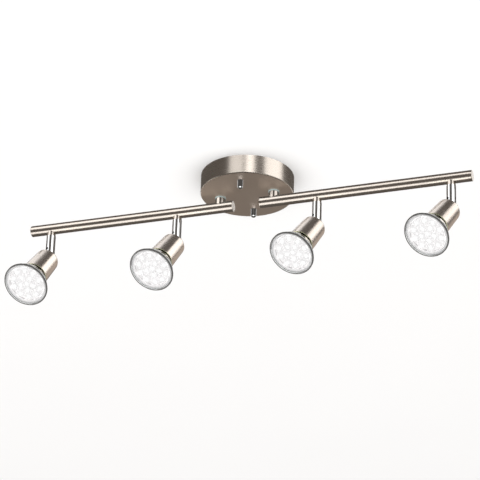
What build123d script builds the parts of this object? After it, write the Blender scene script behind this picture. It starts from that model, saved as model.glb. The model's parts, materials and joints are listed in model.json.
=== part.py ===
from build123d import *
import os
from math import cos, radians

# Ceiling spotlight bar: a round canopy carries two straight tube arms, each on one swivel
# post, and each arm carries two tilting spot heads with pin-base lamps.
# Millimetres. The origin is the centre of the canopy's back on the ceiling, +Z up, +X along
# the arms and -Y towards the room side that the heads point to.

# ---- canopy ----
CANOPY_R = 50.0
CANOPY_DEPTH = 21.5
CANOPY_WALL = 1.0
CANOPY_EDGE = 1.0
FACE_Z = -CANOPY_DEPTH
INSIDE_Z = FACE_Z + CANOPY_WALL

# ---- ceiling bracket inside the canopy ----
STRAP_WIDTH = 18.0
STRAP_LENGTH = 88.0
STRAP_THICK = 2.0
SCREW_SPACING = 44.0
SCREW_SLOT_WIDTH = 4.5
SCREW_SLOT_LENGTH = 10.0
STUD_R = 1.5
STUD_LENGTH = 27.0
STUD_HEAD_R = 2.8
STUD_HEAD_THICK = 1.2
STUD_PLACES = ((3.2, -33.0), (-3.2, 33.0))
STUD_GAP = 0.3
CAP_NUT_R = 2.9
CAP_NUT_HEIGHT = 9.5
CAP_NUT_DOME = 1.5
CAP_NUT_DEPTH = 6.0
EARTH_SCREW_Y = 8.0
EARTH_HEAD_R = 3.0
EARTH_HEAD_THICK = 2.0
DRIVER_WIDTH = 0.8
DRIVER_DEPTH = 0.7

# ---- terminal block ----
POLE_PITCH = 8.0
POLES = 3
BLOCK_X = 16.0
BLOCK_Y = POLES * POLE_PITCH
BLOCK_Z = 11.0
BLOCK_EDGE = 0.8
TUNNEL_R = 1.7
TERMINAL_X = 4.0
TERMINAL_R = 1.8
TERMINAL_SUNK = 1.0
TERMINAL_LENGTH = 2.6
POLE_GROOVE = (1.0, 1.5)
LEAD_R = 0.9
LEAD_BEND = 2.2
LEAD_APART = 1.2
LEAD_RISE = 6.5

# ---- arms ----
ARM_SPAN = 247.5
ARM_INNER = 15.0
BAR_R = 6.0
BAR_WALL = 1.0
BAR_DROP = 11.5
BAR_Z = FACE_Z - BAR_DROP
CAP_THICK = 1.0
CAP_EDGE = 0.35
CAP_PLUG = 5.0
CAP_PLUG_WALL = 1.5

# ---- swivel posts ----
POST_X = 30.0
POST_R = 5.5
POST_BORE_R = 3.3
SPIGOT_R = 5.0
SPIGOT_TOP = -11.0
WASHER_R = 5.9
WASHER_THICK = 1.2
NUT_FLATS = 14.0
NUT_HEIGHT = 4.0
NUT_EDGE = 0.7

# ---- head stems ----
HEAD_X = (-224.5, -78.5, 78.5, 224.5)
HEAD_NAMES = ("outer_left", "inner_left", "inner_right", "outer_right")
COLLAR_R = 4.7
COLLAR_DROP = 9.0
PIVOT_DROP = 33.7
PIVOT_Z = BAR_Z - PIVOT_DROP
STEM_R = 5.0
STEM_BORE_R = 2.2
STEM_NECK_R = 3.5
STEM_LIP_R = 4.1
STEM_LIP_THICK = 1.0
STEM_LIP_DROP = 2.2
BAR_HOLE_R = 3.8
LEAD_HOLE_R = 1.6
LEAD_HOLE_DROP = 16.3
LEAD_HOLE_TURN = -13.5

# ---- tilt hinge ----
TILTS_AT_REST = (38.0, 38.0, 38.0, 40.0)
TURNS_AT_REST = (-12.5, -18.0, -22.5, -24.0)
TAB_THICK = 3.0
TAB_R = 4.2
SLOT_WIDTH = 3.2
SLOT_TOP = 5.2
FLAT_X = 4.0
FLAT_TOP = 3.4
PIN_R = 2.0
PIN_HEAD_R = 3.0
PIN_HEAD_THICK = 1.5
PIN_HEAD_EDGE = 0.6
PIN_CROSS = (3.6, 0.8)

# ---- cup and lamp, by distance behind the lamp's front face ----
PIVOT_BACK = 65.5
CUP_RIM = 22.0
CUP_REAR = 60.0
CUP_RIM_R = 14.55
CUP_REAR_R = 12.85
CUP_EDGE = 3.5
CUP_WALL = 0.9
FLANGE_DISC_R = 8.0
FLANGE_DISC_THICK = 1.4
HOLDER_FRONT = 47.7
HOLDER_BACK = 57.2
HOLDER_R = 11.0
HOLDER_EDGE = 0.6
HOLDER_BORE_R = 1.6
PIN_PITCH = 10.0
PIN_SHANK_R = 1.5
PIN_FOOT_R = 2.5
PIN_FRONT = 47.4
PIN_STEP = 51.4
PIN_END = 54.4
PIN_FOOT_EDGE = 0.5
SOCKET_SLOT_R = 2.9
SOCKET_DEPTH = 7.8
TWIST = 20.0
LAMP_R = 25.0
LENS_R = 23.2
LENS_FRONT = 0.6
LENS_BACK = 1.8
LENS_EDGE = 0.3
LED_R = 19.4
LED_FRONT = 5.0
LED_BACK = 6.2
LED_POST_R = 6.0
FLANGE_BACK = 2.2
FLANGE_STEP = 0.9
FLANGE_EDGE = 0.7
BOWL_BEND = (19.6, 11.5)
BOWL_END = 21.0
NECK_R = 12.2
NECK_FRONT = 27.0
NECK_BACK = 36.0
GLASS = 1.2
BASE_FRONT = 31.0
BASE_SHOULDER = (39.5, 42.5)
BASE_R = (11.8, 10.4, 10.0)

# ---- fits ----
RUNNING = 0.05
SEAT = 0.1


def rod(radius, low, high, x=0.0, y=0.0):
    """A vertical cylinder between two heights."""
    return Pos(x, y, low) * Cylinder(
        radius, high - low, align=(Align.CENTER, Align.CENTER, Align.MIN)
    )


def cross_rod(radius, start, end, z=0.0):
    """A cylinder along X between two places."""
    return Pos((start + end) / 2, 0, z) * Rot(Y=90) * Cylinder(radius, end - start)


def spin(points):
    """A solid of revolution about Z from a closed outline of (radius, height) points."""
    outline = Polyline(*[(r, 0, z) for r, z in points], close=True)
    return revolve(make_face(outline), Axis.Z)


def along_bar(start, end, radius):
    """A cylinder on the bar's centre line."""
    return cross_rod(radius, min(start, end), max(start, end), BAR_Z)


# ---- canopy group ----
def make_canopy():
    shell = rod(CANOPY_R, FACE_Z, 0)
    shell = fillet(shell.edges().sort_by(Axis.Z)[0], CANOPY_EDGE)
    shell -= rod(CANOPY_R - CANOPY_WALL, INSIDE_Z, 1)
    for x in (-POST_X, POST_X):
        shell -= rod(SPIGOT_R + RUNNING, FACE_Z - 1, INSIDE_Z + 1, x)
    for x, y in STUD_PLACES:
        shell -= rod(STUD_R + STUD_GAP, FACE_Z - 1, INSIDE_Z + 1, x, y)
    return shell


def make_mounting_crossbar():
    strap = Pos(0, 0, -STRAP_THICK / 2) * Box(STRAP_WIDTH, STRAP_LENGTH, STRAP_THICK)
    strap = fillet(strap.edges().filter_by(Axis.Z), STRAP_WIDTH / 4)
    slot = Rot(Z=90) * SlotOverall(SCREW_SLOT_LENGTH, SCREW_SLOT_WIDTH)
    for side in (-1, 1):
        strap -= Pos(0, side * SCREW_SPACING / 2, -STRAP_THICK) * extrude(
            slot, STRAP_THICK
        )
    for x, y in (*STUD_PLACES, (0, EARTH_SCREW_Y)):
        strap -= rod(STUD_R + RUNNING, -STRAP_THICK, 0, x, y)
    return strap


def make_crossbar_studs():
    studs = []
    for x, y in STUD_PLACES:
        stud = rod(STUD_R, -STUD_LENGTH, -SEAT, x, y)
        stud += rod(STUD_HEAD_R, -STRAP_THICK - STUD_HEAD_THICK, -STRAP_THICK, x, y)
        studs.append(stud)
    return Compound(studs)


def make_cap_nuts():
    nuts = []
    for x, y in STUD_PLACES:
        nut = rod(CAP_NUT_R, FACE_Z - CAP_NUT_HEIGHT, FACE_Z, x, y)
        nut = fillet(nut.edges().sort_by(Axis.Z)[0], CAP_NUT_DOME)
        nut -= rod(STUD_R + RUNNING, FACE_Z - CAP_NUT_DEPTH, FACE_Z, x, y)
        nuts.append(nut)
    return Compound(nuts)


def make_earth_screw():
    head_top = -STRAP_THICK
    head_low = head_top - EARTH_HEAD_THICK
    screw = rod(STUD_R, head_low, -SEAT, 0, EARTH_SCREW_Y)
    head = rod(EARTH_HEAD_R, head_low, head_top, 0, EARTH_SCREW_Y)
    head = fillet(head.edges().sort_by(Axis.Z)[0], DRIVER_WIDTH)
    slot = Box(DRIVER_WIDTH, 3 * EARTH_HEAD_R, 2 * DRIVER_DEPTH)
    return screw + head - Pos(0, EARTH_SCREW_Y, head_low) * slot


def terminal_ys():
    return [(i - (POLES - 1) / 2) * POLE_PITCH for i in range(POLES)]


def make_terminal_block():
    block_top = INSIDE_Z + BLOCK_Z
    block = Pos(0, 0, INSIDE_Z + BLOCK_Z / 2) * Box(BLOCK_X, BLOCK_Y, BLOCK_Z)
    block = chamfer(block.edges().group_by(Axis.Z)[-1], BLOCK_EDGE)
    tunnel_z = INSIDE_Z + BLOCK_Z / 2
    for y in terminal_ys():
        block -= Pos(0, y, 0) * cross_rod(TUNNEL_R, -BLOCK_X, BLOCK_X, tunnel_z)
        for x in (-TERMINAL_X, TERMINAL_X):
            block -= rod(TERMINAL_R + RUNNING, tunnel_z, block_top + 1, x, y)
    groove_width, groove_depth = POLE_GROOVE
    groove = Box(BLOCK_X + 1, groove_width, 2 * groove_depth)
    for y in terminal_ys()[:-1]:
        block -= Pos(0, y + POLE_PITCH / 2, block_top) * groove
    return block


def make_terminal_screws():
    top = INSIDE_Z + BLOCK_Z - TERMINAL_SUNK
    slot = Box(3 * TERMINAL_R, DRIVER_WIDTH, 2 * DRIVER_DEPTH)
    screws = []
    for y in terminal_ys():
        for x in (-TERMINAL_X, TERMINAL_X):
            screw = rod(TERMINAL_R - RUNNING, top - TERMINAL_LENGTH, top, x, y)
            screws.append(screw - Pos(x, y, top) * slot)
    return Compound(screws)


def make_lead(side, y):
    """One lead, from a terminal, up and over into a swivel post's bore."""
    level = INSIDE_Z + BLOCK_Z / 2
    aside = LEAD_APART if y > 0 else -LEAD_APART
    over = SPIGOT_TOP + 2 * LEAD_BEND
    points = [
        (side * (BLOCK_X / 2 - LEAD_R), y, level),
        (side * (BLOCK_X / 2 + 2 * LEAD_BEND), y, level),
        (side * POST_X * 0.6, y * 0.8, level + LEAD_RISE),
        (side * POST_X * 0.8, y * 0.45, over),
        (side * POST_X, aside, over - LEAD_R),
        (side * POST_X, aside, BAR_Z + LEAD_R),
    ]
    route = FilletPolyline(*points, radius=LEAD_BEND)
    start = Plane(origin=route @ 0, z_dir=route % 0)
    return sweep(start * Circle(LEAD_R), path=route)


def make_canopy_leads():
    ys = (-POLE_PITCH, POLE_PITCH)
    return Compound([make_lead(side, y) for side in (-1, 1) for y in ys])


# ---- arm group ----
def arm_heads(side):
    return [x for x in HEAD_X if x * side > 0]


def make_post(side):
    x = side * POST_X
    top = FACE_Z - SEAT - WASHER_THICK - SEAT
    post = rod(POST_R, BAR_Z, top, x)
    post -= along_bar(x - 20, x + 20, BAR_R)
    post += rod(SPIGOT_R, top, SPIGOT_TOP, x)
    post -= rod(POST_BORE_R, BAR_Z, 0, x)
    return post


def make_post_washer(side):
    x = side * POST_X
    low = FACE_Z - SEAT - WASHER_THICK
    washer = rod(WASHER_R, low, FACE_Z - SEAT, x)
    return washer - rod(SPIGOT_R + RUNNING, low, FACE_Z, x)


def make_post_nut(side):
    x = side * POST_X
    low = INSIDE_Z + SEAT
    hexagon = RegularPolygon(NUT_FLATS / 2, 6, major_radius=False)
    nut = Pos(x, 0, low) * extrude(hexagon, NUT_HEIGHT)
    corner_r = NUT_FLATS / 2 / cos(radians(30))
    blank = rod(corner_r - NUT_EDGE / 2, low, low + NUT_HEIGHT, x)
    blank = chamfer(blank.edges().filter_by(GeomType.CIRCLE), NUT_EDGE)
    return nut & blank - rod(SPIGOT_R + RUNNING, low, low + NUT_HEIGHT, x)


def make_bar(side):
    start = side * (ARM_INNER + CAP_THICK)
    end = side * (ARM_SPAN - CAP_THICK)
    bar = along_bar(start, end, BAR_R) - along_bar(start, end, BAR_R - BAR_WALL)
    bar -= rod(POST_BORE_R, BAR_Z, BAR_Z + BAR_R, side * POST_X)
    for x in arm_heads(side):
        bar -= rod(BAR_HOLE_R, BAR_Z - BAR_R, BAR_Z, x)
    return bar


def make_end_caps(side):
    caps = []
    for outer, inward in ((ARM_INNER, 1), (ARM_SPAN, -1)):
        seat = outer + inward * CAP_THICK
        cap = along_bar(side * outer, side * seat, BAR_R)
        rim = cap.faces().sort_by(Axis.X)[0 if side * inward > 0 else -1].edges()
        cap = chamfer(rim, CAP_EDGE)
        plug_end = seat + inward * CAP_PLUG
        plug = along_bar(side * seat, side * plug_end, BAR_R - BAR_WALL - RUNNING)
        bore_r = BAR_R - BAR_WALL - CAP_PLUG_WALL
        plug -= along_bar(side * seat, side * plug_end, bore_r)
        caps.append(cap + plug)
    return Compound(caps)


def make_collars(side):
    collars = []
    for x in arm_heads(side):
        collar = rod(COLLAR_R, BAR_Z - COLLAR_DROP, BAR_Z, x)
        collar -= along_bar(x - 20, x + 20, BAR_R)
        collar -= rod(STEM_NECK_R + RUNNING, BAR_Z - COLLAR_DROP, BAR_Z, x)
        collars.append(collar)
    return Compound(collars)


# ---- head group: built at the tilt pivot, hinge axis along X, pointing straight down ----
def behind(distance):
    """Height of a place given by its distance behind the lamp's front face."""
    return distance - PIVOT_BACK


def make_stem():
    shoulder = PIVOT_DROP - COLLAR_DROP - SEAT
    lip_low = PIVOT_DROP - STEM_LIP_DROP
    lip_top = lip_low + STEM_LIP_THICK
    stem = rod(STEM_R, 0, shoulder)
    stem += rod(STEM_R, -STEM_R, 0) & cross_rod(STEM_R, -STEM_R, STEM_R)
    stem += rod(STEM_NECK_R, shoulder, lip_top)
    stem += rod(STEM_LIP_R, lip_low, lip_top)
    stem -= Pos(0, 0, SLOT_TOP - 10) * Box(SLOT_WIDTH, 12, 20)
    for side in (-1, 1):
        stem -= Pos(side * (FLAT_X + 5), 0, FLAT_TOP - 10) * Box(10, 12, 20)
    stem -= cross_rod(PIN_R + RUNNING, -STEM_R, STEM_R)
    hole_z = PIVOT_DROP - COLLAR_DROP - LEAD_HOLE_DROP
    stem -= rod(STEM_BORE_R, hole_z - STEM_BORE_R, lip_top)
    hole = Pos(0, -STEM_R / 2, hole_z) * Rot(X=90) * Cylinder(LEAD_HOLE_R, STEM_R + 1)
    return stem - Rot(Z=LEAD_HOLE_TURN) * hole


def make_tilt_screw():
    screw = cross_rod(PIN_R, -FLAT_X, FLAT_X)
    head = cross_rod(PIN_HEAD_R, FLAT_X, FLAT_X + PIN_HEAD_THICK)
    head = fillet(head.edges().sort_by(Axis.X)[-1], PIN_HEAD_EDGE)
    long, wide = PIN_CROSS
    driver = Box(PIN_HEAD_THICK, wide, long) + Box(PIN_HEAD_THICK, long, wide)
    return screw + head - Pos(FLAT_X + PIN_HEAD_THICK, 0, 0) * driver


def make_tilt_tab():
    disc_top = behind(CUP_REAR - CUP_WALL) - SEAT
    disc_low = disc_top - FLANGE_DISC_THICK
    tab = Pos(0, 0, disc_top / 2) * Box(TAB_THICK, 2 * TAB_R, -disc_top)
    tab += cross_rod(TAB_R, -TAB_THICK / 2, TAB_THICK / 2)
    tab += rod(FLANGE_DISC_R, disc_low, disc_top)
    return tab - cross_rod(PIN_R + RUNNING, -TAB_THICK, TAB_THICK)


def make_cup():
    length = CUP_REAR - CUP_RIM
    low, high = behind(CUP_RIM), behind(CUP_REAR)
    middle = Pos(0, 0, (low + high) / 2)
    cup = middle * Cone(CUP_RIM_R, CUP_REAR_R, length)
    cup = fillet(cup.edges().sort_by(Axis.Z)[-1], CUP_EDGE)
    hollow = Pos(0, 0, -CUP_WALL) * middle * Cone(
        CUP_RIM_R - CUP_WALL, CUP_REAR_R - CUP_WALL, length
    )
    hollow = fillet(hollow.edges().sort_by(Axis.Z)[-1], CUP_EDGE - CUP_WALL)
    cup -= hollow
    cup -= rod(CUP_RIM_R - CUP_WALL, low - 1, low + CUP_WALL)
    return cup - Pos(0, 0, high) * Box(TAB_THICK + 0.4, 2 * TAB_R + 0.6, 4)


def make_lampholder():
    low, high = behind(HOLDER_FRONT), behind(HOLDER_BACK)
    holder = rod(HOLDER_R, low, high)
    holder = chamfer(holder.edges().filter_by(GeomType.CIRCLE), HOLDER_EDGE)
    holder -= rod(HOLDER_BORE_R, low, high)
    for start in (0, 180):
        arc = CenterArc((0, 0), PIN_PITCH / 2, start - TWIST - 1, TWIST + 2)
        slot = SlotArc(arc, 2 * SOCKET_SLOT_R)
        holder -= Pos(0, 0, low) * extrude(slot, SOCKET_DEPTH)
    return holder


def make_lamp_base():
    plug_r = NECK_R - GLASS - SEAT
    wide, waist, back = BASE_R
    outline = [
        (0, BASE_FRONT),
        (plug_r, BASE_FRONT),
        (plug_r, NECK_BACK + SEAT),
        (wide, NECK_BACK + SEAT),
        (wide, BASE_SHOULDER[0]),
        (waist, BASE_SHOULDER[1]),
        (back, PIN_FRONT),
        (0, PIN_FRONT),
    ]
    return spin([(r, behind(d)) for r, d in outline])


def make_lamp_pins():
    pins = []
    for x in (-PIN_PITCH / 2, PIN_PITCH / 2):
        pin = rod(PIN_SHANK_R, behind(PIN_FRONT), behind(PIN_END), x)
        foot = rod(PIN_FOOT_R, behind(PIN_STEP), behind(PIN_END), x)
        foot = chamfer(foot.edges().sort_by(Axis.Z)[-1], PIN_FOOT_EDGE)
        pins.append(pin + foot)
    return Compound(pins)


def make_lamp_reflector():
    """The lamp's glass bowl: a thick front flange, a curved bowl and a straight neck."""
    start = (LAMP_R - FLANGE_STEP, FLANGE_BACK)
    bowl = [start, BOWL_BEND, (NECK_R + GLASS / 2, BOWL_END)]
    outside = ThreePointArc(*[(r, 0, behind(d)) for r, d in bowl])
    inner = [(r - GLASS, d) for r, d in bowl]
    inside = ThreePointArc(*[(r, 0, behind(d)) for r, d in inner])

    def corner(r, d):
        return (r, 0, behind(d))

    front = Polyline(
        corner(*inner[0]),
        corner(inner[0][0], LENS_BACK + SEAT),
        corner(LENS_R + SEAT, LENS_BACK + SEAT),
        corner(LENS_R + SEAT, FLANGE_EDGE / 2),
        corner(LENS_R + SEAT + FLANGE_EDGE / 2, 0),
        corner(LAMP_R - FLANGE_EDGE, 0),
        corner(LAMP_R, FLANGE_EDGE),
        corner(LAMP_R, FLANGE_BACK - FLANGE_EDGE),
        corner(LAMP_R - FLANGE_EDGE, FLANGE_BACK),
        corner(*bowl[0]),
    )
    neck = Polyline(
        corner(*bowl[-1]),
        corner(NECK_R, NECK_FRONT),
        corner(NECK_R, NECK_BACK),
        corner(NECK_R - GLASS, NECK_BACK),
        corner(NECK_R - GLASS, NECK_FRONT),
        corner(*inner[-1]),
    )
    return revolve(make_face([front, outside, neck, inside]), Axis.Z)


def make_lamp_lens():
    lens = rod(LENS_R, behind(LENS_FRONT), behind(LENS_BACK))
    return chamfer(lens.edges().sort_by(Axis.Z)[0], LENS_EDGE)


def make_led_board():
    board = rod(LED_R, behind(LED_FRONT), behind(LED_BACK))
    heat_post = rod(LED_POST_R, behind(LED_BACK), behind(BASE_FRONT) - SEAT)
    return board + heat_post


def head_place(x, turn, tilt):
    """Where a head's parts go: at its pivot, turned about the stem, then tilted."""
    return Pos(x, 0, PIVOT_Z) * Rot(Z=turn) * Rot(X=-tilt)


# ---- build ----
STEM_PARTS = {"stem": make_stem, "tilt_screw": make_tilt_screw}
HEAD_PARTS = {
    "tilt_tab": make_tilt_tab,
    "cup": make_cup,
    "lampholder": make_lampholder,
    "lamp_base": make_lamp_base,
    "lamp_pins": make_lamp_pins,
    "lamp_reflector": make_lamp_reflector,
    "lamp_lens": make_lamp_lens,
    "led_board": make_led_board,
}
ARM_PARTS = {
    "post": make_post,
    "post_washer": make_post_washer,
    "post_nut": make_post_nut,
    "bar": make_bar,
    "end_caps": make_end_caps,
    "collars": make_collars,
}
CANOPY_PARTS = {
    "canopy": make_canopy,
    "mounting_crossbar": make_mounting_crossbar,
    "crossbar_studs": make_crossbar_studs,
    "cap_nuts": make_cap_nuts,
    "earth_screw": make_earth_screw,
    "terminal_block": make_terminal_block,
    "terminal_screws": make_terminal_screws,
    "canopy_leads": make_canopy_leads,
}

os.makedirs("parts", exist_ok=True)
nodes = {name: make() for name, make in CANOPY_PARTS.items()}
for arm_name, side in (("left", -1), ("right", 1)):
    for name, make in ARM_PARTS.items():
        nodes[f"{arm_name}_{name}"] = make(side)
stem_shapes = {name: make() for name, make in STEM_PARTS.items()}
head_shapes = {name: make() for name, make in HEAD_PARTS.items()}
for head_name, x, turn, tilt in zip(HEAD_NAMES, HEAD_X, TURNS_AT_REST, TILTS_AT_REST):
    for name, shape in stem_shapes.items():
        nodes[f"{head_name}_{name}"] = head_place(x, turn, 0) * shape
    for name, shape in head_shapes.items():
        nodes[f"{head_name}_{name}"] = head_place(x, turn, tilt) * shape
for name, shape in nodes.items():
    export_step(shape, f"parts/{name}.step")
print(len(nodes), "nodes")
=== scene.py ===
"""Looks of a four-lamp ceiling spotlight bar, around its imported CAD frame.

Metres, in the CAD's own frame: the origin is the centre of the canopy's back on the ceiling,
+Z points up, +X runs along the arms, and the heads point down and towards -Y.
"""

import json
from math import cos, pi, radians, sin, sqrt, tan

import bmesh
import bpy
from mathutils import Matrix, Vector

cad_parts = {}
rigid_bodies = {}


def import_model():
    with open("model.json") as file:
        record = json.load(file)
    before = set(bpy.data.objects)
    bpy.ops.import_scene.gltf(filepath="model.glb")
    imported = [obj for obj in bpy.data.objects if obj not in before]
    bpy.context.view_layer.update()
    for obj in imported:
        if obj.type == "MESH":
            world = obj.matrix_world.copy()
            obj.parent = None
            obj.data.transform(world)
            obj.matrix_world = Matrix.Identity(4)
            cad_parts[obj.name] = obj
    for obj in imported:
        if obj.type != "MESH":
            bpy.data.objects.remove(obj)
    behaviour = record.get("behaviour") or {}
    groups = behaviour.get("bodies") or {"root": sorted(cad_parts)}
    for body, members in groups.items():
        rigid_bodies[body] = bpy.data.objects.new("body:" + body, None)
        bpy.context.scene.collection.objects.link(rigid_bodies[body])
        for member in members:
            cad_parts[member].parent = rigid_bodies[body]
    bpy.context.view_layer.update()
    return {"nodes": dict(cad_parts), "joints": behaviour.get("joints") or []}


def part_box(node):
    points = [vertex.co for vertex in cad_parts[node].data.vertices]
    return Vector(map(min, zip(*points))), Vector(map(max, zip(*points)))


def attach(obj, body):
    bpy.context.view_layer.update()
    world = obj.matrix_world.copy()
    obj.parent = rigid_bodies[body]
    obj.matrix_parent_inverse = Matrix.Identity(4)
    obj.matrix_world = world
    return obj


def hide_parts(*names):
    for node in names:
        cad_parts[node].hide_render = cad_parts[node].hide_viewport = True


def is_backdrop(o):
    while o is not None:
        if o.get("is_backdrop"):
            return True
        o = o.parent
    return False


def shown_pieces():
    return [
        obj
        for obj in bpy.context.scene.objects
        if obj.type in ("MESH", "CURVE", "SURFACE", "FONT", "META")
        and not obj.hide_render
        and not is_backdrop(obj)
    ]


MM = 0.001
HEADS = ("outer_left", "inner_left", "inner_right", "outer_right")

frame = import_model()
scene = bpy.context.scene
nodes = frame["nodes"]
joints = {joint["name"]: joint for joint in frame["joints"]}


# ---------------------------------------------------------------- places from the frame
def head_axes(head):
    """A head's turned frame, at its pivot: X on its hinge, Z from its lamp's face to the pivot."""
    tilt, twist = joints[f"{head}_head_tilt"], joints[f"{head}_lamp_twist"]
    back = -Vector(twist["axis"]).normalized()
    hinge = Vector(tilt["axis"]).normalized()
    side = back.cross(hinge)
    turned = Matrix((hinge, side, back)).transposed().to_4x4()
    return Matrix.Translation(Vector(tilt["pos_m"])) @ turned


# ---------------------------------------------------------------- materials
# the sizes of the broad patterns, as a noise's scale per metre
METAL_CLOUDS = 45.0
PLASTIC_CLOUDS = 60.0
GLASS_FLOW = 180.0
STAGE_CLOUDS = 3.0
# how much of 0 to 1 a noise is taken to fill, where it sets a value and where it sets a colour
VALUE_ENDS = (0.25, 0.75)
COLOUR_ENDS = (0.3, 0.7)
# a pattern's darkest colour, as a share of its lightest
PLASTIC_DARK = 0.93
GLASS_DARK = 0.97
STAGE_DARK = 0.99
PLASTIC_SMUDGE = 0.05
GLASS_WAVES = 4e-6
# which way a metal's grain runs: a small number draws it out along that axis
EVEN = (1, 1, 1)
ALONG_X = (0.02, 1, 1)
ROUND_Z = (0.02, 0.02, 1)
DOWN_Z = (1, 1, 0.02)
BRASS_DRAW = (1, 1, 0.05)


class Nodes:
    """A material's node tree, with short calls to add and join nodes."""

    def __init__(self, name):
        self.material = bpy.data.materials.new(name)
        self.material.use_nodes = True
        self.tree = self.material.node_tree
        self.tree.nodes.clear()
        self.output = self.add("ShaderNodeOutputMaterial")

    def add(self, kind, inputs=(), **settings):
        node = self.tree.nodes.new(kind)
        for key, value in settings.items():
            setattr(node, key, value)
        for key, value in dict(inputs).items():
            if isinstance(value, bpy.types.NodeSocket):
                self.tree.links.new(value, node.inputs[key])
            else:
                node.inputs[key].default_value = value
        return node

    def finish(self, shader):
        self.tree.links.new(shader.outputs[0], self.output.inputs["Surface"])
        return self.material


def place_of(tree, stretch=EVEN, turn=(0, 0, 0)):
    """The surface's own coordinates, turned and then stretched."""
    place = tree.add("ShaderNodeTexCoord").outputs["Object"]
    turned = tree.add("ShaderNodeMapping", {"Vector": place, "Rotation": turn})
    return tree.add("ShaderNodeMapping", {"Vector": turned.outputs[0], "Scale": stretch}).outputs[0]


def noise(tree, vector, scale, detail=3.0):
    inputs = {"Vector": vector, "Scale": scale, "Detail": detail}
    return tree.add("ShaderNodeTexNoise", inputs).outputs["Fac"]


def spread(tree, value, low, high):
    """A 0 to 1 pattern put between two values."""
    start, end = VALUE_ENDS
    ends = {"From Min": start, "From Max": end, "To Min": low, "To Max": high}
    return tree.add("ShaderNodeMapRange", {"Value": value, **ends}).outputs[0]


def tinted(tree, value, dark, light):
    """A 0 to 1 pattern as a colour between two."""
    ramp = tree.add("ShaderNodeValToRGB", {"Fac": value})
    for index, colour in enumerate((dark, light)):
        element = ramp.color_ramp.elements[index]
        element.position, element.color = COLOUR_ENDS[index], (*colour, 1)
    return ramp.outputs[0]


def bumped(tree, value, depth):
    return tree.add("ShaderNodeBump", {"Height": value, "Distance": depth}).outputs[0]


def metal(
    name, colour, roughness, grain, stretch=EVEN, turn=(0, 0, 0), depth=2e-6, vary=0.06, smudge=0.04
):
    """Plated metal with a fine grain. vary is its colour's spread, and smudge its roughness's."""
    tree = Nodes(name)
    lines = noise(tree, place_of(tree, stretch, turn), grain)
    clouds = noise(tree, place_of(tree), METAL_CLOUDS, detail=4.0)
    dark = tuple(c * (1 - vary) for c in colour)
    light = tuple(min(1.0, c * (1 + vary)) for c in colour)
    both = tree.add("ShaderNodeMath", {0: lines, 1: clouds}, operation="ADD").outputs[0]
    half = tree.add("ShaderNodeMath", {0: both, 1: 0.5}, operation="MULTIPLY").outputs[0]
    shader = tree.add(
        "ShaderNodeBsdfPrincipled",
        {
            "Base Color": tinted(tree, half, dark, light),
            "Roughness": spread(tree, half, roughness - smudge, roughness + smudge),
            "Metallic": 1.0,
            "Normal": bumped(tree, lines, depth),
        },
    )
    return tree.finish(shader)


def plastic(name, colour, roughness, grain=900.0, depth=1e-5, coat=0.0, emit=0.0):
    """Moulded plastic, ground glass or glaze: a fine speckle. emit is how strongly it glows, a
    painted glow in its own colour.
    """
    tree = Nodes(name)
    speckle = noise(tree, place_of(tree), grain)
    clouds = noise(tree, place_of(tree), PLASTIC_CLOUDS)
    shader = tree.add(
        "ShaderNodeBsdfPrincipled",
        {
            "Base Color": tinted(tree, clouds, tuple(c * PLASTIC_DARK for c in colour), colour),
            "Roughness": spread(
                tree, clouds, roughness - PLASTIC_SMUDGE, roughness + PLASTIC_SMUDGE
            ),
            "Coat Weight": coat,
            "Emission Color": (*colour, 1),
            "Emission Strength": emit,
            "Normal": bumped(tree, speckle, depth),
        },
    )
    return tree.finish(shader)


def glass(name, colour, roughness=0.0):
    """Clear glass with slow waves in it."""
    tree = Nodes(name)
    flow = noise(tree, place_of(tree), GLASS_FLOW)
    shader = tree.add(
        "ShaderNodeBsdfPrincipled",
        {
            "Base Color": tinted(tree, flow, tuple(c * GLASS_DARK for c in colour), colour),
            "Roughness": roughness,
            "IOR": 1.5,
            "Transmission Weight": 1.0,
            "Normal": bumped(tree, flow, GLASS_WAVES),
        },
    )
    return tree.finish(shader)


NICKEL = (0.64, 0.58, 0.52)
nickel_along = metal("satin_nickel_tube", (0.66, 0.60, 0.54), 0.20, 900.0, ALONG_X, vary=0.03)
nickel_turned = metal("satin_nickel_turned", NICKEL, 0.20, 900.0, ROUND_Z, vary=0.03)
nickel_wall = metal("satin_nickel_canopy_wall", NICKEL, 0.27, 900.0, ROUND_Z, vary=0.03)
nickel_face = metal(
    "satin_nickel_canopy_face", (0.60, 0.53, 0.47), 0.50, 900.0, DOWN_Z, vary=0.03
)
MIRROR = {"grain": 500.0, "depth": 5e-7, "vary": 0.02, "smudge": 0.03}
chrome = metal("polished_chrome", (0.88, 0.89, 0.90), 0.06, **MIRROR)
# a darker copy of the chrome for the cap nuts: painted shade on their bodies
nut_chrome_painted_shade = metal("cap_nut_chrome_painted_shade", (0.55, 0.56, 0.57), 0.06, **MIRROR)
zinc = metal("zinc_plate", (0.60, 0.61, 0.62), 0.36, 260.0, vary=0.12, smudge=0.08)
brass = metal("brass", (0.78, 0.60, 0.30), 0.28, 700.0, BRASS_DRAW)
pin_metal = metal("pin_nickel", (0.74, 0.73, 0.70), 0.18, 900.0)
white_plastic = plastic("white_plastic", (0.82, 0.82, 0.80), 0.45)
# the washer's faint glow is painted light
nylon_painted_glow = plastic("clear_nylon_painted_glow", (0.72, 0.88, 0.88), 0.30, coat=0.3, emit=0.12)
ceramic = plastic("glazed_ceramic", (0.86, 0.84, 0.78), 0.30, 500.0, 2e-5, coat=0.4)
sleeving = plastic("lead_sleeving", (0.03, 0.03, 0.035), 0.42)
# the inside of a stem's bore is painted near black: painted shade
bore_painted_shade = plastic("bore_painted_shade", (0.012, 0.012, 0.014), 0.7)
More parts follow.
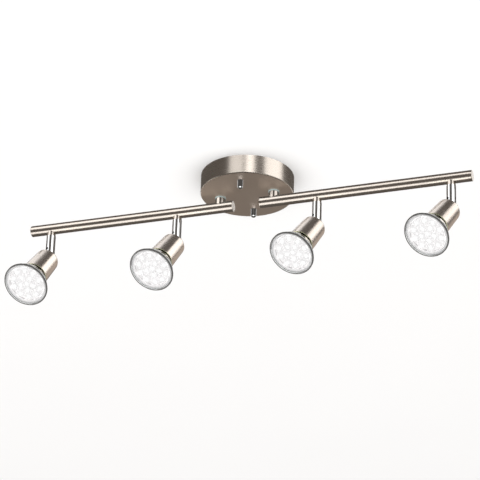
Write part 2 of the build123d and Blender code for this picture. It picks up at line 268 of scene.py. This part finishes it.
# the LED board glows: painted light in place of the light through the cover glass
board_painted_glow = plastic("led_board_white_painted_glow", (0.93, 0.93, 0.92), 0.5, 600.0, 6e-6, emit=0.75)
clear_glass = glass("clear_glass", (0.97, 0.985, 0.98))
lens_glass = glass("lens_glass", (0.99, 0.99, 0.99), 0.08)
CUP_COLOUR, CUP_ROUGHNESS, CUP_GRAIN = (0.72, 0.66, 0.61), 0.26, 2200.0


def cup_finish(head):
    """A cup's fine turned grain, its lines running round the cup."""
    turn = head_axes(head).to_3x3().inverted().to_euler()
    name = f"satin_nickel_{head}_cup"
    grain = {"depth": 1e-6, "vary": 0.025}
    return metal(name, CUP_COLOUR, CUP_ROUGHNESS, CUP_GRAIN, ROUND_Z, turn, **grain)


FINISH = {
    "canopy": nickel_wall,
    "mounting_crossbar": zinc,
    "crossbar_studs": zinc,
    "cap_nuts": nut_chrome_painted_shade,
    "earth_screw": brass,
    "terminal_block": white_plastic,
    "terminal_screws": brass,
    "canopy_leads": sleeving,
    "post": nickel_turned,
    "post_washer": nylon_painted_glow,
    "post_nut": zinc,
    "bar": nickel_along,
    "end_caps": nickel_along,
    "collars": nickel_turned,
    "stem": chrome,
    "tilt_screw": chrome,
    "tilt_tab": chrome,
    "lampholder": ceramic,
    "lamp_base": white_plastic,
    "lamp_pins": pin_metal,
    "lamp_reflector": clear_glass,
    "lamp_lens": lens_glass,
    "led_board": board_painted_glow,
}


def kind_of(node):
    """The part a CAD node is, without the head or arm it belongs to."""
    for prefix in (*HEADS, "left", "right"):
        if node.startswith(prefix + "_"):
            return node[len(prefix) + 1 :]
    return node


def second_finish(node, material, chosen):
    """Gives the faces of a CAD node that chosen picks a second material."""
    node.data.materials.append(material)
    for face in node.data.polygons:
        if chosen(face):
            face.material_index = 1


for name, node in nodes.items():
    node.data.materials.clear()
    node.data.materials.append(FINISH.get(kind_of(name)))
for head in HEADS:
    nodes[f"{head}_cup"].data.materials[0] = cup_finish(head)

# a face is level where its normal's upright part is over FLAT, and a stem's bore lies within this
# share of its radius
FLAT = 0.98
BORE_WITHIN = 0.93
second_finish(nodes["canopy"], nickel_face, lambda face: face.normal.z < -FLAT)


def in_bore(head):
    """Picks a stem's upright faces above its slot that lie within its wall or face its axis."""
    axis = Vector(joints[f"{head}_head_tilt"]["pos_m"])
    low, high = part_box(f"{head}_stem")
    wall = (high[0] - low[0]) / 2 * BORE_WITHIN

    def chosen(face):
        away = face.center - axis
        towards = face.normal.x * away.x + face.normal.y * away.y
        inside = sqrt(away.x**2 + away.y**2) < wall or towards < 0
        return inside and away.z > wall and abs(face.normal.z) < FLAT

    return chosen


# the faces inside each stem's bore get the near-black painted shade
for head in HEADS:
    second_finish(nodes[f"{head}_stem"], bore_painted_shade, in_bore(head))


# ---------------------------------------------------------------- turned pieces
ON_AXIS = 1e-7
SHARP = radians(40)
# the most of an outline's stretch that a fillet may use at one end
FILLET_SHARE = 0.49


def reach(node, axes):
    """A CAD node's lowest and highest place along a frame's Z, and its largest radius round it."""
    inverse = axes.inverted()
    points = [inverse @ v.co for v in nodes[node].data.vertices]
    heights = [p.z for p in points]
    return min(heights), max(heights), max(sqrt(p.x**2 + p.y**2) for p in points)


def rounded(corners, steps=4):
    """An outline of (radius, height) points from corners (radius, height, fillet), each rounded."""
    points = []
    for i, (x, y, fillet) in enumerate(corners):
        here = Vector((x, y))
        before = Vector(corners[i - 1][:2]) - here
        after = Vector(corners[(i + 1) % len(corners)][:2]) - here
        if fillet == 0 or before.length == 0 or after.length == 0:
            points.append((x, y))
            continue
        half = before.angle(after) / 2
        most = min(before.length * FILLET_SHARE, after.length * FILLET_SHARE)
        reached = min(fillet / tan(half), most)
        start, end = here + before.normalized() * reached, here + after.normalized() * reached
        for k in range(steps + 1):
            t = k / steps
            points.append(tuple(start * (1 - t) ** 2 + here * 2 * t * (1 - t) + end * t**2))
    return points


def lathe(name, outline, *materials, steps=112, closed=True, bands=()):
    """A mesh turned round Z from (radius, height) points.

    bands gives each stretch between two points its place among the materials.
    """
    data = bpy.data.meshes.new(name)
    turns = [2 * pi * k / steps for k in range(steps)]
    verts, rings = [], []
    for r, z in outline:
        if r < ON_AXIS:
            rings.append([len(verts)] * steps)
            verts.append((0, 0, z))
        else:
            rings.append(list(range(len(verts), len(verts) + steps)))
            verts += [(r * cos(turn), r * sin(turn), z) for turn in turns]
    faces, places = [], []
    following = rings[1:] + rings[:1] if closed else rings[1:]
    for stretch, (low, high) in enumerate(zip(rings, following)):
        for k in range(steps):
            corners = [low[k], low[(k + 1) % steps], high[(k + 1) % steps], high[k]]
            face = list(dict.fromkeys(corners))
            if len(face) > 2:
                faces.append(face)
                places.append(bands[stretch] if bands else 0)
    data.from_pydata(verts, [], faces)
    data.polygons.foreach_set("material_index", places)
    return smooth(data, *materials)


def smooth(data, *materials):
    """Outward normals, smooth faces with sharp edges kept, and the materials."""
    mesh = bmesh.new()
    mesh.from_mesh(data)
    bmesh.ops.recalc_face_normals(mesh, faces=mesh.faces)
    mesh.to_mesh(data)
    mesh.free()
    data.polygons.foreach_set("use_smooth", [True] * len(data.polygons))
    data.set_sharp_from_angle(angle=SHARP)
    for material in materials:
        data.materials.append(material)
    return data


def fit(name, shape, axes, body, slot, *replaced):
    """Puts a copy of a shape in place as a piece of a body, for any CAD nodes it replaces."""
    data = shape.copy()
    data.transform(axes)
    piece = bpy.data.objects.new(name, data)
    scene.collection.objects.link(piece)
    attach(piece, body)
    if replaced:
        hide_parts(*replaced)


# ---------------------------------------------------------------- lamps
HEAD_FRAMES = {head: head_axes(head) for head in HEADS}
first = HEADS[0]
FACE, NECK_END, LAMP_R = reach(f"{first}_lamp_reflector", HEAD_FRAMES[first])
COVER_FRONT, COVER_BACK, COVER_R = reach(f"{first}_lamp_lens", HEAD_FRAMES[first])
BOARD_FRONT = reach(f"{first}_led_board", HEAD_FRAMES[first])[0]
# heights are from the lamp's face, back towards the pivot
NECK_R = 12.2 * MM
GLASS = 1.2 * MM
FLANGE_BACK = 2.2 * MM
FLANGE_STEP = 0.9 * MM
BOWL_BEND = (19.6 * MM, 11.5 * MM)
BOWL_END = 21.0 * MM
BOWL_OVER_NECK = 0.6 * MM
NECK_START = 27.0 * MM
COVER_FILLETS = (0.4 * MM, 0.2 * MM)
# the glass stands clear of the cover, and its lip is rounded
CLEAR = 0.1 * MM
LIP_FRONT = 0.3 * MM
LIP_BACK = 0.2 * MM
LIP_FILLET = 0.1 * MM
# the ground rim: a rounded edge, and a dark line on its front beside that edge; the dark is painted
# shade
RIM_R = COVER_R + 0.12 * MM
RIM_EDGE = 0.40 * MM
RIM_LINE = 0.45 * MM
RIM_INSET = 0.20 * MM
RIM_CLEAR = 0.02 * MM
RIM_CHAMFER = 0.15 * MM
RIM_BEVEL = 0.3


def arc_through(start, middle, end, steps):
    """Points on the curve from start to end that passes through middle."""
    (x0, y0), (x1, y1), (x2, y2) = start, middle, end
    cx, cy = 2 * x1 - (x0 + x2) / 2, 2 * y1 - (y0 + y2) / 2
    points = []
    for k in range(steps + 1):
        t = k / steps
        a, b, c = (1 - t) ** 2, 2 * t * (1 - t), t**2
        points.append((a * x0 + b * cx + c * x2, a * y0 + b * cy + c * y2))
    return points


def bowl_line(inset, steps=18):
    """The bowl and neck, a distance inside their outer face, from the flange back."""
    start = (LAMP_R - FLANGE_STEP - inset, FACE + FLANGE_BACK)
    middle = (BOWL_BEND[0] - inset, FACE + BOWL_BEND[1])
    end = (NECK_R + BOWL_OVER_NECK - inset, FACE + BOWL_END)
    neck = [(NECK_R - inset, FACE + NECK_START), (NECK_R - inset, NECK_END)]
    return arc_through(start, middle, end, steps) + neck


def lamp_glass():
    """The glass from its front lip over the bowl to the neck's end, and back inside it."""
    front = rounded(
        [
            (COVER_R + CLEAR, COVER_BACK + CLEAR, 0),
            (COVER_R + CLEAR, FACE + LIP_FRONT, 0),
            (RIM_R, FACE + LIP_FRONT, LIP_FILLET),
            (RIM_R, FACE + FLANGE_BACK - LIP_BACK, LIP_FILLET),
            (LAMP_R - FLANGE_STEP, FACE + FLANGE_BACK, 0),
        ]
    )
    inside = bowl_line(GLASS)
    return front[:-1] + bowl_line(0) + inside[::-1] + [(inside[0][0], COVER_BACK + CLEAR)]


def lamp_rim():
    """The ground glass ring, from its inner chamfer out, round its wall and back along its back."""
    front, back = FACE + RIM_INSET, FACE + FLANGE_BACK
    inner, outer = RIM_R + RIM_CLEAR, LAMP_R - RIM_INSET
    return [
        (inner, front + RIM_CHAMFER),
        (inner + RIM_CHAMFER, front),
        (outer - RIM_EDGE - RIM_LINE, front),
        (outer - RIM_EDGE, front),
        (outer - RIM_BEVEL * RIM_EDGE, front + RIM_BEVEL * RIM_EDGE),
        (outer, front + RIM_EDGE),
        (outer, back - RIM_EDGE),
        (outer - RIM_EDGE, back),
        (inner, back),
    ]


def lamp_cover():
    """The clear front cover, with both its edges rounded."""
    front_fillet, back_fillet = COVER_FILLETS
    return rounded(
        [
            (0, COVER_FRONT, 0),
            (COVER_R, COVER_FRONT, front_fillet),
            (COVER_R, COVER_BACK, back_fillet),
            (0, COVER_BACK, 0),
        ]
    )


# the domes' rings, as (radius, count), and the two radii that a chip shows brighter within, a
# painted glow
OPTIC_RINGS = ((0, 1), (7.6 * MM, 5), (15.4 * MM, 10))
OPTIC_R = 19.3 * MM
OPTIC_CLEAR = 0.2 * MM
OPTIC_STEPS = 90
DOME_R = 4.9 * MM
DOME_HIGH = 1.9 * MM
GLOW_R = (1.7 * MM, 2.9 * MM)
# the flat-sided groove round the optic, and the ridge and cone outside it
FACET_SIDES = 12
FACET_STEPS = 8
FACET_R = 20.4 * MM
FACET_SLOPE = 0.5 * MM
BEZEL_R = COVER_R - 0.05 * MM
BEZEL_LAP = 0.3 * MM
BEZEL_CLEAR = 0.4 * MM
CONE_START = 1.0 * MM


def optic(name):
    """The moulded optic over the chips: one low dome per chip, on a round plate."""
    centres = []
    for ring, count in OPTIC_RINGS:
        turns = [2 * pi * k / count for k in range(count)]
        centres += [(ring * cos(turn), ring * sin(turn)) for turn in turns]
    steps = OPTIC_STEPS
    plate = BOARD_FRONT - OPTIC_CLEAR
    data = bpy.data.meshes.new(name)
    mesh = bmesh.new()
    grid, zone = {}, {}
    for i in range(-steps, steps + 1):
        for j in range(-steps, steps + 1):
            x, y = i * OPTIC_R / steps, j * OPTIC_R / steps
            near = min(sqrt((x - cx) ** 2 + (y - cy) ** 2) for cx, cy in centres)
            if sqrt(x * x + y * y) > OPTIC_R:
                continue
            high = DOME_HIGH * sqrt(max(0.0, 1 - (near / DOME_R) ** 2))
            grid[i, j] = mesh.verts.new((x, y, plate - high))
            # how many of the painted glow's radii round a chip this point lies within
            zone[i, j] = sum(near < r for r in GLOW_R)
    for i, j in grid:
        square = [(i, j), (i + 1, j), (i + 1, j + 1), (i, j + 1)]
        if all(c in grid for c in square):
            face = mesh.faces.new([grid[c] for c in square])
            face.material_index = min(zone[c] for c in square)
    mesh.to_mesh(data)
    mesh.free()
    return smooth(data, optic_white_painted_glow, chip_halo, chip_glow)


def bezel(name):
    """The ring round the optic: a flat-sided groove, a ridge, and a cone falling outward."""
    data = bpy.data.meshes.new(name)
    mesh = bmesh.new()
    deep = BOARD_FRONT - BEZEL_LAP
    proud = COVER_BACK + BEZEL_CLEAR
    # the looks: the optic's painted glow, the groove's painted shade and the cone's painted glow
    white, grey, satin = range(3)
    # (radius, height, the material out to the next ring, whether the ring is flat-sided)
    rings = (
        (OPTIC_R - BEZEL_LAP, deep, white, False),
        (FACET_R - FACET_SLOPE, deep, grey, True),
        (FACET_R, (deep + proud) / 2, white, True),
        (FACET_R + FACET_SLOPE, proud, satin, False),
        (BEZEL_R - CONE_START, (deep + proud) / 2, satin, False),
        (BEZEL_R, deep, satin, False),
    )
    steps = FACET_SIDES * FACET_STEPS
    made = []
    for radius, height, _, flat in rings:
        ring = []
        for k in range(steps):
            turn = 2 * pi * k / steps
            from_middle = (k % FACET_STEPS - FACET_STEPS / 2) * 2 * pi / steps
            reached = radius * cos(pi / FACET_SIDES) / cos(from_middle) if flat else radius
            ring.append(mesh.verts.new((reached * cos(turn), reached * sin(turn), height)))
        made.append(ring)
    for inner, outer, (_, _, place, _) in zip(made, made[1:], rings):
        for k in range(steps):
            after = (k + 1) % steps
            face = mesh.faces.new([inner[k], inner[after], outer[after], outer[k]])
            corner = k % FACET_STEPS in (0, FACET_STEPS - 1)
            face.material_index = white if place == grey and corner else place
    mesh.to_mesh(data)
    mesh.free()
    return smooth(data, optic_white_painted_glow, groove_painted_shade, bezel_satin_painted_glow)


COATED = {"grain": 700.0, "depth": 3e-7}
coating = metal("coating_outside", (0.44, 0.46, 0.31), 0.10, vary=0.03, smudge=0.02, **COATED)
lining = metal("coating_inside", (0.93, 0.93, 0.93), 0.12, vary=0.02, smudge=0.02, **COATED)
shoulder_glass = metal("glass_shoulder", (0.95, 0.96, 0.96), 0.28, vary=0.02, **COATED)
GROUND = {"grain": 700.0, "depth": 3e-6}
rim_ground = plastic("ground_rim_front", (0.84, 0.84, 0.84), 0.28, coat=0.3, **GROUND)
# the rim's dark edge and dark outer wall are painted shade
rim_edge_painted_shade = plastic("ground_rim_edge_painted_shade", (0.20, 0.20, 0.20), 0.20, coat=0.3, **GROUND)
rim_wall_painted_shade = plastic("ground_rim_wall_painted_shade", (0.20, 0.20, 0.197), 0.22, coat=0.3, **GROUND)
# the rim's inner wall glows: painted light
rim_inner_painted_glow = plastic("ground_rim_inner_painted_glow", (0.82, 0.82, 0.82), 0.3, emit=1.15, **GROUND)
MOULDED = {"grain": 500.0, "depth": 2e-6}
# the optic, its chips' halos and their glows all glow: painted light
optic_white_painted_glow = plastic("optic_white_painted_glow", (0.81, 0.80, 0.80), 0.2, emit=0.45, **MOULDED)
chip_halo = plastic("chip_halo", (0.86, 0.86, 0.86), 0.25, emit=0.46, **MOULDED)
chip_glow = plastic("chip_glow", (1.0, 1.0, 0.99), 0.3, emit=0.6, **MOULDED)
# the groove's darker grey is painted shade, with a faint painted glow
groove_painted_shade = plastic("groove_painted_shade", (0.62, 0.60, 0.60), 0.3, emit=0.22, **MOULDED)
# the bezel's cone glows: painted light
bezel_satin_painted_glow = plastic("bezel_satin_painted_glow", (0.46, 0.455, 0.455), 0.3, emit=0.9, **MOULDED)

# the first few stretches of the bowl, behind the flange, are clear of the coating
SHOULDER = 3
# how far inside the glass's outer face the coating, its lining and the shoulder lie
COATING_IN = GLASS + 0.06 * MM
LINING_IN = GLASS + 0.30 * MM
SHOULDER_IN = 0.25 * MM
coating_line = bowl_line(COATING_IN)[SHOULDER:]
shoulder_line = bowl_line(SHOULDER_IN)[: SHOULDER + 1]
# a look for each stretch of lamp_rim, by its place in rim_looks; the dark edge and wall are painted
# shade, the inner wall's glow painted light
rim_looks = (rim_ground, rim_edge_painted_shade, rim_wall_painted_shade, rim_inner_painted_glow)
rim_bands = (0, 0, 1, 1, 1, 2, 1, 1, 3)
glass_mesh = lathe("lamp_glass", lamp_glass(), clear_glass)
coating_mesh = lathe("lamp_coating", coating_line, coating, closed=False)
shoulder_mesh = lathe("lamp_shoulder", shoulder_line, shoulder_glass, closed=False)
lining_mesh = lathe("lamp_lining", bowl_line(LINING_IN), lining, closed=False)
rim_mesh = lathe("lamp_rim", lamp_rim(), *rim_looks, bands=rim_bands)
cover_mesh = lathe("lamp_cover", lamp_cover(), lens_glass)
optic_mesh = optic("lamp_optic")
bezel_mesh = bezel("lamp_bezel")
for head, axes in HEAD_FRAMES.items():
    lamp = f"{head}_lamp"
    fit(f"{head}_glass", glass_mesh, axes, lamp, "clear_glass", f"{head}_lamp_reflector")
    fit(f"{head}_coating", coating_mesh, axes, lamp, "clear_glass")
    fit(f"{head}_lining", lining_mesh, axes, lamp, "clear_glass")
    fit(f"{head}_shoulder", shoulder_mesh, axes, lamp, "clear_glass")
    fit(f"{head}_rim", rim_mesh, axes, lamp, "clear_glass")
    fit(f"{head}_cover", cover_mesh, axes, lamp, "clear_glass", f"{head}_lamp_lens")
    fit(f"{head}_optic", optic_mesh, axes, lamp, "led_board")
    fit(f"{head}_bezel", bezel_mesh, axes, lamp, "led_board")

# ---------------------------------------------------------------- camera
CAMERA_SIDE = 18.9
CAMERA_BELOW = 28.5
CAMERA_AWAY = 2.8
SENSOR = 36.0
# how far the view is turned from facing the origin: yaw, pitch and roll in degrees
VIEW_TURN = (-0.124, -1.384, 1.822)
FOCAL_PIXELS, IMAGE_PIXELS = 2604.0, 480.0
LENS = FOCAL_PIXELS / IMAGE_PIXELS * SENSOR
SEES_TO = 60.0


def direction(side, up):
    """A unit vector from the fixture: degrees round from -Y towards +X, and degrees up."""
    a, e = radians(side), radians(up)
    return Vector((sin(a) * cos(e), -cos(a) * cos(e), sin(e)))


camera = bpy.data.objects.new("camera", bpy.data.cameras.new("camera"))
scene.collection.objects.link(camera)
scene.camera = camera
camera.data.lens, camera.data.sensor_width = LENS, SENSOR
camera.data.clip_end = SEES_TO
out = direction(CAMERA_SIDE, -CAMERA_BELOW)
yaw, pitch, roll = (radians(a) for a in VIEW_TURN)
view = out.to_track_quat("Z", "Y").to_matrix()
view = view @ Matrix.Rotation(-yaw, 3, "Y") @ Matrix.Rotation(pitch, 3, "X")
view = view @ Matrix.Rotation(roll, 3, "Z")
camera.matrix_world = Matrix.Translation(out * CAMERA_AWAY) @ view.to_4x4()

# ---------------------------------------------------------------- studio
PANEL_AWAY = 4.0


def group(name, members):
    """A collection that lights are linked to, beside the scene's own."""
    found = bpy.data.collections.new(name)
    for member in members:
        found.objects.link(member)
    return found


def panel(name, side, up, wide, high, radiance, lit, shades=None, colour=(1, 1, 1)):
    """A soft rectangular light, that lights one group and is shaded by another.

    side and up are its direction in degrees, side counted from the camera's. wide and high are the
    degrees that it spans.
    """
    data = bpy.data.lights.new(name, "AREA")
    data.color = colour
    data.shape = "RECTANGLE"
    data.size = 2 * PANEL_AWAY * tan(radians(wide / 2)) * cos(radians(up))
    data.size_y = 2 * PANEL_AWAY * tan(radians(high / 2))
    data.energy = radiance * pi * data.size * data.size_y
    lamp = bpy.data.objects.new(name, data)
    scene.collection.objects.link(lamp)
    towards = direction(CAMERA_SIDE + side, up)
    lamp.location = towards * PANEL_AWAY
    lamp.rotation_euler = towards.to_track_quat("Z", "Y").to_euler()
    lamp.visible_camera = False
    lamp.light_linking.receiver_collection = lit
    if shades is not None:
        lamp.light_linking.blocker_collection = shades
    return lamp


def stage_plane(name, size, height, colour, facing_down):
    """A backdrop plane that only the camera sees, and only from its room side."""
    data = bpy.data.meshes.new(name)
    half = size / 2
    signs = ((-1, -1), (1, -1), (1, 1), (-1, 1))
    corners = [(x * half, y * half, height) for x, y in signs]
    data.from_pydata(corners, [], [(3, 2, 1, 0) if facing_down else (0, 1, 2, 3)])
    plane = bpy.data.objects.new(name, data)
    scene.collection.objects.link(plane)
    tree = Nodes(name)
    clouds = noise(tree, place_of(tree), STAGE_CLOUDS)
    faded = tinted(tree, clouds, tuple(c * STAGE_DARK for c in colour), colour)
    matt = {"Base Color": faded, "Roughness": 0.9, "Specular IOR Level": 0.1}
    paint = tree.add("ShaderNodeBsdfPrincipled", matt)
    clear = tree.add("ShaderNodeBsdfTransparent")
    behind = tree.add("ShaderNodeNewGeometry").outputs["Backfacing"]
    mix = tree.add("ShaderNodeMixShader", {"Fac": behind, 1: paint.outputs[0], 2: clear.outputs[0]})
    data.materials.append(tree.finish(mix))
    plane.visible_glossy = plane.visible_diffuse = False
    plane.visible_transmission = plane.visible_shadow = False
    plane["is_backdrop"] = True
    return plane


CEILING_SIZE, CEILING_COLOUR = 5.5, (0.9, 0.9, 0.9)
FLOOR_SIZE, FLOOR_HEIGHT, FLOOR_COLOUR = 60.0, -2.5, (0.9, 0.89, 0.87)
ceiling = stage_plane("ceiling", CEILING_SIZE, 0.0, CEILING_COLOUR, True)
floor = stage_plane("floor", FLOOR_SIZE, FLOOR_HEIGHT, FLOOR_COLOUR, False)


def pieces_of(*kinds):
    """The CAD nodes of some kinds, on every head and arm."""
    return [node for name, node in nodes.items() if kind_of(name) in kinds]


canopy_only = group("lit_canopy", [nodes["canopy"]])
backdrop = group("lit_ceiling", [ceiling])
chrome_parts = group("lit_chrome", pieces_of("stem", "tilt_screw", "tilt_tab"))
cup_parts = group("lit_cups", pieces_of("cup"))
nut_parts = group("lit_nuts", pieces_of("cap_nuts"))
cap_parts = group("lit_end_caps", pieces_of("end_caps"))
bar_parts = group("lit_bars", pieces_of("bar"))
arm_parts = group("shading_arms", pieces_of("bar", "end_caps", "collars", "post"))
taken = [
    piece
    for lit in (canopy_only, chrome_parts, cup_parts, nut_parts, bar_parts)
    for piece in lit.objects
]
other_parts = group("lit_others", [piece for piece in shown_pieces() if piece not in taken])
not_canopy = group("shading_parts", [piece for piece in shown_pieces() if piece.name != "canopy"])
whole = group("lit_whole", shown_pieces())

# the two sets of key lights: each one's name, what it lights and what shades it
KEYS = (("key", other_parts, not_canopy), ("bar_key", bar_parts, arm_parts))
# each panel's name, side, up, wide, high and radiance, and then what it lights, what shades it and
# its colour
KEY_PANELS = (
    ("high", -56, 34, 58, 38, 1.6),
    ("low", -55, -58, 54, 36, 1.5),
    ("side", 48, 27, 60, 18, 1.4),
)
CUP_WARM, CUP_WARMER, CANOPY_WARM = (1.0, 0.97, 0.94), (1.0, 0.84, 0.70), (1.0, 0.88, 0.78)
PANELS = (
    ("chrome_left", -64, 36, 44, 34, 1.35, chrome_parts, not_canopy),
    ("chrome_right", 45, 30, 58, 24, 1.6, chrome_parts, not_canopy),
    ("chrome_low", -55, -51, 40, 36, 1.5, chrome_parts, not_canopy),
    ("cup_key", 106, 38, 44, 30, 1.75, cup_parts, cup_parts, CUP_WARM),
    ("cup_back", -165, 60, 60, 44, 1.15, cup_parts),
    ("cup_side", 146, 20, 40, 16, 0.42, cup_parts, None, CUP_WARMER),
    ("cup_front", -25, 28, 90, 36, 0.9, cup_parts, not_canopy),
    ("cup_below", 0, -55, 110, 56, 0.7, cup_parts, not_canopy),
    ("cap_end", 142, 27, 50, 36, 0.95, cap_parts, not_canopy),
    ("nut_edge", 180, 27, 120, 24, 1.3, nut_parts, nut_parts),
    ("nut_dome", 0, -60, 90, 56, 4.4, nut_parts, nut_parts),
    ("bar_front", -CAMERA_SIDE, 42, 13, 34, 1.3, bar_parts, not_canopy),
    ("bar_below", -CAMERA_SIDE, -52, 13, 34, 1.3, bar_parts, not_canopy),
    ("canopy_left", -29, 27, 34, 24, 1.2, canopy_only, canopy_only),
    ("canopy_middle", 5, 27, 20, 24, 2.2, canopy_only, canopy_only),
    ("canopy_right", 67, 27, 50, 24, 1.7, canopy_only, canopy_only),
    ("canopy_under", -180, -32, 110, 60, 0.22, canopy_only, canopy_only, CANOPY_WARM),
)
for key, lit, shades in KEYS:
    for part, *aim in KEY_PANELS:
        panel(f"{key}_{part}", *aim, lit, shades)
for row in PANELS:
    panel(*row)

# soft light on every piece from all round, a little below its level: up, wide, high and radiance
ROUND_SIDES = (-140, -95, 20, 65, 100, 140)
ROUND_AIM = (-8, 34, 30, 0.7)
for side in ROUND_SIDES:
    panel(f"round_{side}", side, *ROUND_AIM, whole, not_canopy)

# the ceiling is lit evenly from below, and the floor from above
WASH_SIZE, WASH_BELOW, WASH_OFF, WASH = 14.0, 3.0, 4.0, 1.27
# the wash's size, energy and place are set after it is made, so its three 1s only fill a place
wash = panel("ceiling_wash", 0, -90, 1, 1, 1, backdrop, canopy_only)
wash.data.size = wash.data.size_y = WASH_SIZE
wash.data.energy = WASH * pi * WASH_SIZE**2
wash.location = direction(CAMERA_SIDE, 0) * WASH_OFF - Vector((0, 0, WASH_BELOW))
SUN, SUN_SPREAD = 3.3, radians(25)
sun = bpy.data.objects.new("floor_sun", bpy.data.lights.new("floor_sun", "SUN"))
scene.collection.objects.link(sun)
sun.data.energy, sun.data.angle = SUN, SUN_SPREAD
sun.light_linking.receiver_collection = group("lit_floor", [floor])

# the other pieces don't mirror the canopy
nodes["canopy"].visible_glossy = False

# the world is white behind the object and through its glass, and a dim warm grey to all else
WHITE, DIM_GREY = (1, 1, 1, 1), (0.13, 0.118, 0.108, 1)
scene.view_settings.view_transform = "Standard"
scene.world = bpy.data.worlds.new("studio")
scene.world.use_nodes = True
room = scene.world.node_tree
room.nodes.clear()
seen = room.nodes.new("ShaderNodeBackground")
mirrored = room.nodes.new("ShaderNodeBackground")
mirrored.inputs["Color"].default_value = DIM_GREY
seen.inputs["Color"].default_value = WHITE
path = room.nodes.new("ShaderNodeLightPath")
either = room.nodes.new("ShaderNodeMath")
either.operation = "MAXIMUM"
choice = room.nodes.new("ShaderNodeMixShader")
output = room.nodes.new("ShaderNodeOutputWorld")
for start, end in (
    (path.outputs["Is Camera Ray"], either.inputs[0]),
    (path.outputs["Is Transmission Ray"], either.inputs[1]),
    (either.outputs[0], choice.inputs["Fac"]),
    (mirrored.outputs[0], choice.inputs[1]),
    (seen.outputs[0], choice.inputs[2]),
    (choice.outputs[0], output.inputs["Surface"]),
):
    room.links.new(start, end)
